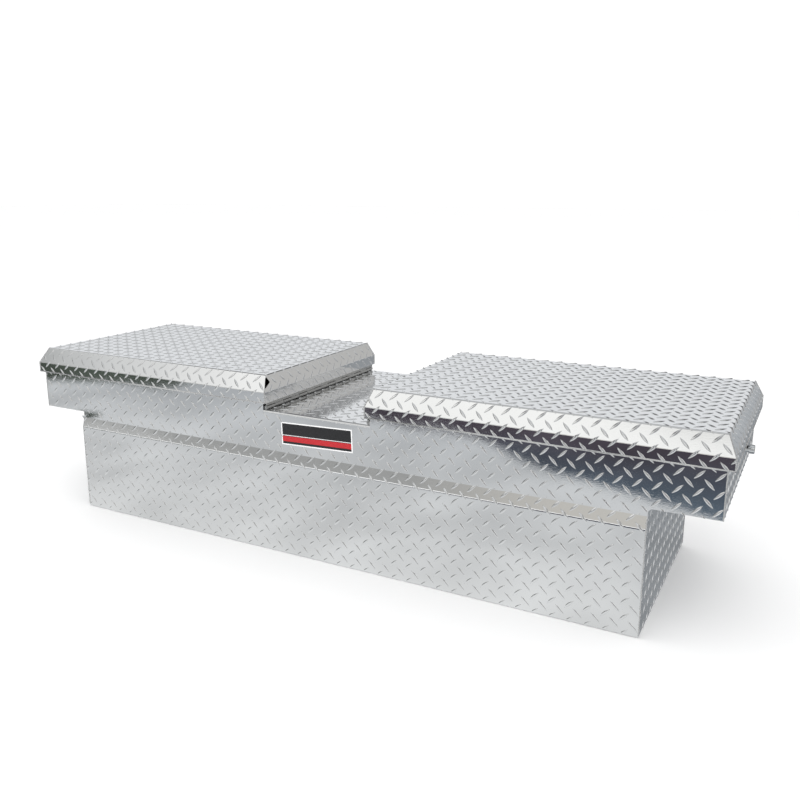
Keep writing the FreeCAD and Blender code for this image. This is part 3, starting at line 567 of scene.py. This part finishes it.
class Facet:
    """A flat convex stretch of sheet, with its place in the unrolled pattern.

    corners are its 3-D corners. u is the pattern's first direction, and start is the pattern's
    place at the first corner. bends gives the neighbour's normal at an edge, by the number of the
    edge's first corner, so a lozenge that crosses the bend fits together there."""

    def __init__(self, corners, u, normal, start, bends=None):
        self.corners = [Vector(c) for c in corners]
        self.u, self.normal = Vector(u).normalized(), Vector(normal).normalized()
        self.v = self.normal.cross(self.u)
        self.start = start
        flat = [self.flatten(c) for c in self.corners]
        turn = sum(p[0] * q[1] - q[0] * p[1] for p, q in zip(flat, flat[1:] + flat[:1]))
        self.edges = []
        for i, p in enumerate(flat):
            q = flat[(i + 1) % len(flat)]
            out = Vector((q[1] - p[1], p[0] - q[0]))
            if turn < 0:
                out = -out
            out.normalize()
            neighbour = (bends or {}).get(i)
            self.edges.append((Vector(p), out, Vector(neighbour) if neighbour else None))
        self.flat = flat

    def flatten(self, point):
        """The pattern place of a 3-D point on the sheet."""
        step = Vector(point) - self.corners[0]
        return (self.start[0] + step.dot(self.u), self.start[1] + step.dot(self.v))

    def lift(self, a, b, high):
        """The 3-D place of a pattern point at a height over the sheet."""
        flat = self.u * (a - self.start[0]) + self.v * (b - self.start[1])
        rise = self.normal
        for p, out, neighbour in self.edges:
            if neighbour is not None and abs((Vector((a, b)) - p).dot(out)) < ON_EDGE:
                rise = (self.normal + neighbour) / (1 + self.normal.dot(neighbour))
        return self.corners[0] + flat + rise * high

    def reach_of(self, a, b):
        """How far a pattern point lies past the facet's edges; negative is inside."""
        return max((Vector((a, b)) - p).dot(out) for p, out, _ in self.edges)


def lozenge_places(facet, phase, holes):
    """Every lozenge on a facet: its slant, its middle and how far that lies past an edge."""
    low = [min(f[k] for f in facet.flat) - REACH for k in (0, 1)]
    high = [max(f[k] for f in facet.flat) + REACH for k in (0, 1)]
    for slant, shift in ((1, 0.0), (-1, 0.5)):
        a0, b0 = phase[0] + shift * PITCH_A, phase[1] + shift * PITCH_B
        columns = math.floor((low[0] - a0) / PITCH_A), math.ceil((high[0] - a0) / PITCH_A) + 1
        rows = math.floor((low[1] - b0) / PITCH_B), math.ceil((high[1] - b0) / PITCH_B) + 1
        for i in range(*columns):
            for j in range(*rows):
                a, b = a0 + i * PITCH_A, b0 + j * PITCH_B
                past = facet.reach_of(a, b)
                in_hole = any(h[0] < a < h[1] and h[2] < b < h[3] for h in holes)
                if past <= REACH * KEEP_PAST and not in_hole:
                    yield slant, a, b, past


def trim(cut, facet):
    """Cuts flat lozenges at a facet's edges and closes them."""
    for p, out, _ in facet.edges:
        if not cut.faces:
            break
        bmesh.ops.bisect_plane(
            cut,
            geom=cut.verts[:] + cut.edges[:] + cut.faces[:],
            plane_co=(p.x, p.y, 0),
            plane_no=(out.x, out.y, 0),
            clear_outer=True,
            dist=WELD_GAP,
        )
        open_edges = [e for e in cut.edges if e.is_boundary]
        if open_edges:
            bmesh.ops.holes_fill(cut, edges=open_edges, sides=0)


def tread(name, body, facets, phase, holes=()):
    """The raised lozenges of one sheet: slanted one way at phase, the other way between them."""
    mesh = bpy.data.meshes.new(name)
    whole = bmesh.new()
    for facet in facets:
        cut = bmesh.new()
        for slant, a, b, past in lozenge_places(facet, phase, holes):
            points, faces = LOZENGES[slant]
            target = whole if past < -REACH else cut
            made = []
            for pa, pb, ph in points:
                place = (a + pa, b + pb, ph)
                made.append(target.verts.new(place if target is cut else facet.lift(*place)))
            for face in faces:
                target.faces.new([made[k] for k in face])
        trim(cut, facet)
        cut.verts.index_update()
        places = {}
        for vert in cut.verts:
            places[vert.index] = whole.verts.new(facet.lift(*vert.co))
        for face in cut.faces:
            whole.faces.new([places[v.index] for v in face.verts])
        cut.free()
    bmesh.ops.recalc_face_normals(whole, faces=whole.faces[:])
    for face in whole.faces:
        face.smooth = True
    for edge in whole.edges:
        edge.smooth = edge.calc_face_angle(OPEN_EDGE) < CREASE
    whole.to_mesh(mesh)
    whole.free()
    return add_piece(name, mesh, body, "tread_plate")


# Where the pattern of each sheet starts, in its own unrolled directions.
LID_PHASE_A, LID_PHASE_DROP = 0.6885, 3 * MM
TUB_PHASE = (0.1902 + PITCH_A / 2, 0.1995 + PITCH_B / 2)
PANEL_PHASE = (0.7008, 0.359)
END_PLATE_PHASE, END_WALL_PHASE = (0.004, 0.0105), (0.011, 0.292)
SHELF_PHASE, DECK_PHASE = (0.771, 0.009), (0.009, -0.232)


def lid_tread(side_name, side):
    """The pattern over a lid's top, chamfers and skirts, which runs on over the bends."""
    low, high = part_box("lid_skin_" + side_name)
    x_in, x_out = sorted((abs(low[0]), abs(high[0])))
    y1, z0, z3 = high[1], low[2], high[2]
    z1 = z3 - CHAMFER_FALL
    tx0, tx1, ty = x_in + CHAMFER_IN, x_out - CHAMFER_OUT, y1 - CHAMFER_Y
    up = Vector((0, 0, 1))

    def unit(x, y, z):
        return Vector((x * side, y, z)).normalized()

    def face(corners, u, out, start, bends=None):
        corners = [Vector((x * side, y, z)) for x, y, z in corners]
        normal = (corners[1] - corners[0]).cross(corners[2] - corners[0]).normalized()
        if normal.dot(unit(*out)) < 0:
            normal = -normal
        return Facet(corners, u, normal, start, bends)

    front, back = unit(0, -CHAMFER_FALL, CHAMFER_Y), unit(0, CHAMFER_FALL, CHAMFER_Y)
    outer, inner = unit(CHAMFER_FALL, 0, CHAMFER_OUT), unit(-CHAMFER_FALL, 0, CHAMFER_IN)
    slopes = [math.hypot(CHAMFER_FALL, run) for run in (CHAMFER_IN, CHAMFER_OUT, CHAMFER_Y)]
    slope_in, slope_out, slope_y = slopes
    top = [(tx0, -ty, z3), (tx1, -ty, z3), (tx1, ty, z3), (tx0, ty, z3)]
    bends = {0: front, 1: outer, 2: back, 3: inner}
    facets = [face(top, (1, 0, 0), (0, 0, 1), (tx0 * side, -ty), bends)]
    for y_side, chamfer_normal in ((-1, front), (1, back)):
        bends = {0: up, 2: Vector((0, y_side, 0))}
        y, top_y = y_side * y1, y_side * ty
        chamfer = [(tx0, top_y, z3), (tx1, top_y, z3), (x_out, y, z1), (x_in, y, z1)]
        facets.append(face(chamfer, (1, 0, 0), (0, y_side, 0.5), (tx0 * side, top_y), bends))
        skirt = [(x_in, y, z1), (x_out, y, z1), (x_out, y, z0), (x_in, y, z0)]
        start = (x_in * side, y_side * (ty + slope_y))
        facets.append(face(skirt, (1, 0, 0), (0, y_side, 0), start, {0: chamfer_normal}))
    for x_side, chamfer_normal, slope, top_x, x in (
        (1, outer, slope_out, tx1, x_out),
        (-1, inner, slope_in, tx0, x_in),
    ):
        bends = {0: up, 2: Vector((x_side * side, 0, 0))}
        into = -x_side * side
        chamfer = [(top_x, -ty, z3), (top_x, ty, z3), (x, y1, z1), (x, -y1, z1)]
        u = Vector(((x - top_x) * side, 0, z1 - z3)) * -into
        facets.append(face(chamfer, u, (x_side, 0, 0.5), (top_x * side, -ty), bends))
        skirt = [(x, -y1, z1), (x, y1, z1), (x, y1, z0), (x, -y1, z0)]
        start = (top_x * side - into * slope, -y1)
        facets.append(face(skirt, (0, 0, into), (x_side, 0, 0), start, {0: chamfer_normal}))
    phase = (LID_PHASE_A, -(ty + slope_y) - LID_PHASE_DROP)
    notch = (-tx0, slope_in - tx0, -y1, NOTCH_DEPTH - y1)
    holes = [notch] if side < 0 else []
    tread("tread_lid_" + side_name, "lid_" + side_name, facets, phase, holes)


def tub_tread():
    """The pattern over the tub's front and back, up to the top of each joggle."""
    plate_low, plate_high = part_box("end_plate_right")
    half = plate_high[0]
    for name, y, out in (("front", plate_low[1], -1), ("back", TUB_BACK_Y, 1)):
        x, y_top = half * out, INSET_Y * out
        flat = Vector((0, out, 0))
        tilt = Vector((0, out * (JOGGLE_TOP_Z - JOGGLE_Z), abs(y) - INSET_Y)).normalized()
        main = [(x, y, EDGE), (-x, y, EDGE), (-x, y, JOGGLE_Z), (x, y, JOGGLE_Z)]
        strip = [main[3], main[2], (-x, y_top, JOGGLE_TOP_Z), (x, y_top, JOGGLE_TOP_Z)]
        facets = [
            Facet(main, (-out, 0, 0), flat, (-half, EDGE), {2: tilt}),
            Facet(strip, (-out, 0, 0), tilt, (-half, JOGGLE_Z), {0: flat}),
        ]
        tread("tread_tub_" + name, "box", facets, TUB_PHASE)


def panel_tread():
    """The pattern over the front and back panels, which step down under the saddle."""
    low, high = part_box("front_panel")
    half = high[0]
    badge_low, badge_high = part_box("badge_plate")
    badge = (badge_low[0], badge_high[0], badge_low[2], badge_high[2])
    hole = [value + BADGE_KEEP * way for value, way in zip(badge, (-1, 1, -1, 1))]
    for name, y, out, (left, right) in (
        ("front", low[1], -1, FOOT_ENDS),
        ("back", BODY_Y, 1, FOOT_ENDS[::-1]),
    ):
        facets = []
        for (x0, x1, z0), (x2, x3, z1) in (
            ((-half, -STEP_X, RAIL_Z), (-half, -STEP_X, WALL_TOP_Z)),
            ((STEP_X, half, RAIL_Z), (STEP_X, half, WALL_TOP_Z)),
            ((-STEP_X, STEP_X, RAIL_Z), (-STEP_X, STEP_X, PANEL_BEND_Z)),
            ((-left, right, PANEL_LOW_Z), (-left - FOOT_FLARE[0], right + FOOT_FLARE[1], RAIL_Z)),
        ):
            corners = [(x0, y, z0), (x1, y, z0), (x3, y, z1), (x2, y, z1)]
            facets.append(Facet(corners, (-out, 0, 0), (0, out, 0), (-out * x0, z0)))
        tread("tread_panel_" + name, "box", facets, PANEL_PHASE, [hole] if out < 0 else [])


def end_tread(side_name, side):
    """The pattern over an end plate, the end wall above it and the rail shelf between them."""
    plate_low, plate_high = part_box("end_plate_right")
    x, wall_x = side * plate_high[0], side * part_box("front_panel")[1][0]
    y0, y1 = plate_low[1], TUB_BACK_Y
    u, flat = (0, side, 0), (side, 0, 0)
    plate = [(x, y0, EDGE), (x, y1, EDGE), (x, y1, RAIL_Z), (x, y0, RAIL_Z)]
    phase = (END_PLATE_PHASE[0] * side, END_PLATE_PHASE[1])
    facet = Facet(plate, u, flat, (side * y0, EDGE))
    tread("tread_end_plate_" + side_name, "box", [facet], phase)
    near, far = -INSET_Y, INSET_Y
    wall = [
        (wall_x, near, RAIL_Z),
        (wall_x, far, RAIL_Z),
        (wall_x, far, WALL_TOP_Z),
        (wall_x, near, WALL_TOP_Z),
    ]
    lock = (-LOCK_KEEP, LOCK_KEEP, LOCK_Z - LOCK_KEEP, LOCK_Z + LOCK_KEEP)
    facet = Facet(wall, u, flat, (near * side, RAIL_Z))
    tread("tread_end_wall_" + side_name, "box", [facet], END_WALL_PHASE, [lock])
    shelf = [(x, near, RAIL_Z), (wall_x, near, RAIL_Z), (wall_x, far, RAIL_Z), (x, far, RAIL_Z)]
    facet = Facet(shelf, flat, (0, 0, -1), (abs(x), near))
    x0, x1 = BOLT_X - BOLT_KEEP, BOLT_X + BOLT_KEEP
    bolts = [(x0, x1, y - BOLT_KEEP, y + BOLT_KEEP) for y in (-BOLT_Y, BOLT_Y)]
    tread("tread_shelf_" + side_name, "box", [facet], SHELF_PHASE, bolts)


def deck_tread():
    """The pattern over the saddle deck."""
    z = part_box("saddle_deck")[1][2]
    corners = [(a * DECK_X, b * DECK_Y, z) for a, b in ((-1, -1), (1, -1), (1, 1), (-1, 1))]
    deck = Facet(corners, (1, 0, 0), (0, 0, 1), (-DECK_X, -DECK_Y))
    tread("tread_deck", "box", [deck], DECK_PHASE)


# ---- Hems, welds and springs ---------------------------------------------------------------------

ROD_SIDES = 10
HEM_RADIUS = 1.8 * MM
WELD_RADIUS = 0.0016
# The ripples of a weld: their spacing and their smallest and largest size, as shares of its radius.
RIPPLE_STEP, RIPPLE_SIZES = 1.1, (0.85, 1.12)
LID_SEED, TUB_SEED, BODY_SEED = 10, 31, 47
# Where the weld at the notched corner stops, as a share of the chamfer's slope.
NOTCH_WELD = 0.12
SPRING_TURNS, SPRING_STEPS, SPRING_SIDES = 5, 20, 8
SPRING_WIRE_R = 0.5 * MM


def hem(name, start, end, body):
    """A round bar between two points, with closed ends."""
    start, end = Vector(start), Vector(end)
    mesh = bpy.data.meshes.new(name)
    bar = bmesh.new()
    bmesh.ops.create_cone(
        bar,
        cap_ends=True,
        segments=ROD_SIDES,
        radius1=HEM_RADIUS,
        radius2=HEM_RADIUS,
        depth=(end - start).length,
    )
    turn = (end - start).to_track_quat("Z", "Y").to_matrix().to_4x4()
    bar.transform(Matrix.Translation((start + end) / 2) @ turn)
    for face in bar.faces:
        face.smooth = len(face.verts) == 4
    bar.to_mesh(mesh)
    bar.free()
    add_piece(name, mesh, body, "rivet_metal")


def lid_hems():
    """The rolled edge of each lid's folded skirt, which catches the light."""
    for side_name, side in SIDES:
        low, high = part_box("lid_skin_" + side_name)
        z = low[2] + HEM_RADIUS
        (x0, x1), (y0, y1) = (low[0], high[0]), (low[1], high[1])
        outer_x = x1 if side > 0 else x0
        for name, start, end in (
            ("front", (x0, y0, z), (x1, y0, z)),
            ("back", (x0, y1, z), (x1, y1, z)),
            ("outer", (outer_x, y0, z), (outer_x, y1, z)),
        ):
            hem("hem_" + name + "_" + side_name, start, end, "lid_" + side_name)


def weld_bead(name, points, body, seed):
    """A run of weld along points: overlapping ripples, each a little different."""
    rng = random.Random(seed)
    mesh = bpy.data.meshes.new(name)
    bead = bmesh.new()
    for start, end in zip(points, points[1:]):
        start, end = Vector(start), Vector(end)
        count = max(2, int((end - start).length / (WELD_RADIUS * RIPPLE_STEP)))
        for i in range(count + 1):
            size = WELD_RADIUS * rng.uniform(*RIPPLE_SIZES)
            place = Matrix.Translation(start.lerp(end, i / count)) @ Matrix.Scale(size, 4)
            bmesh.ops.create_icosphere(bead, subdivisions=1, radius=1, matrix=place)
    for face in bead.faces:
        face.smooth = True
    bead.to_mesh(mesh)
    bead.free()
    add_piece(name, mesh, body, "rivet_metal")


def lid_welds(side_name, side):
    """Beads up the lid's upright corners and along its mitres; the notched corner's stops short."""
    low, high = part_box("lid_skin_" + side_name)
    x_in, x_out = sorted((abs(low[0]), abs(high[0])))
    z0, z1, z3 = low[2] + 3 * MM, high[2] - CHAMFER_FALL, high[2]
    corners = [(x_in, x_in + CHAMFER_IN, y_side) for y_side in (-1, 1)]
    corners += [(x_out, x_out - CHAMFER_OUT, y_side) for y_side in (-1, 1)]
    for i, (x, top_x, y_side) in enumerate(corners):
        y, top_y = y_side * high[1], y_side * (high[1] - CHAMFER_Y)
        corner, top = (x * side, y, z1), (top_x * side, top_y, z3)
        if side < 0 and i == 0:
            top = Vector(corner).lerp(Vector(top), NOTCH_WELD)
        run = [(x * side, y, z0), corner, top]
        weld_bead(f"weld_lid_{side_name}_{i + 1}", run, "lid_" + side_name, LID_SEED + i)


def box_welds(side_name, side):
    """Beads up the corners of the tub and of the body at one end."""
    plate_low, plate_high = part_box("end_plate_right")
    wall_low, wall_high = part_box("end_wall_right")
    x, wall_x = side * plate_high[0], side * wall_high[0]
    for place, y, out in (("front", plate_low[1], -1), ("back", TUB_BACK_Y, 1)):
        inner_y, wall_y = out * (BODY_Y - SHEET), out * BODY_Y
        tub = [(x, y, 8 * MM), (x, y, JOGGLE_Z), (x, inner_y, JOGGLE_TOP_Z)]
        weld_bead(f"weld_tub_{place}_{side_name}", tub, "box", TUB_SEED)
        body = [(wall_x, wall_y, wall_low[2] + 1 * MM), (wall_x, wall_y, wall_high[2] - 2 * MM)]
        weld_bead(f"weld_body_{place}_{side_name}", body, "box", BODY_SEED)


def button_spring(side_name):
    """The coil round a lock's plunger."""
    node = "button_spring_" + side_name
    low, high = map(Vector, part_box(node))
    near, far = sorted((low.x, high.x), key=abs)
    length = abs(far - near)
    middle = (low + high) / 2
    coil_r = (high.z - low.z) / 2 - SPRING_WIRE_R
    run = length - 2 * SPRING_WIRE_R
    out = math.copysign(1, far)
    count = SPRING_TURNS * SPRING_STEPS + 1
    points, faces = [], []
    for i in range(count):
        angle = math.tau * i / SPRING_STEPS
        away = Vector((0, math.cos(angle), math.sin(angle)))
        along = near + out * (SPRING_WIRE_R + run * i / (count - 1))
        centre = Vector((along, middle.y, middle.z))
        for j in range(SPRING_SIDES):
            turn = math.tau * j / SPRING_SIDES
            across = away * math.cos(turn) + Vector((math.sin(turn), 0, 0))
            points.append(centre + away * coil_r + across * SPRING_WIRE_R)
    for i in range(count - 1):
        for j in range(SPRING_SIDES):
            a, b = i * SPRING_SIDES + j, i * SPRING_SIDES + (j + 1) % SPRING_SIDES
            faces.append((a, b, b + SPRING_SIDES, a + SPRING_SIDES))
    faces.append(tuple(range(SPRING_SIDES)))
    faces.append(tuple(range(len(points) - 1, len(points) - 1 - SPRING_SIDES, -1)))
    mesh = bpy.data.meshes.new("spring_coil_" + side_name)
    mesh.from_pydata(points, [], faces)
    coil = bmesh.new()
    coil.from_mesh(mesh)
    bmesh.ops.recalc_face_normals(coil, faces=coil.faces[:])
    for face in coil.faces:
        face.smooth = len(face.verts) == 4
    coil.to_mesh(mesh)
    coil.free()
    piece = add_piece("spring_coil_" + side_name, mesh, "box", "spring_steel")
    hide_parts(node)
    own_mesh(piece)


add_camera()
add_studio()
bpy.context.scene.view_settings.view_transform = "Standard"
dress_nodes()
for side_name, side in SIDES:
    lid_tread(side_name, side)
tub_tread()
panel_tread()
for side_name, side in SIDES:
    end_tread(side_name, side)
deck_tread()
lid_hems()
for side_name, side in SIDES:
    lid_welds(side_name, side)
for side_name, side in SIDES:
    box_welds(side_name, side)
for side_name, _ in SIDES:
    button_spring(side_name)
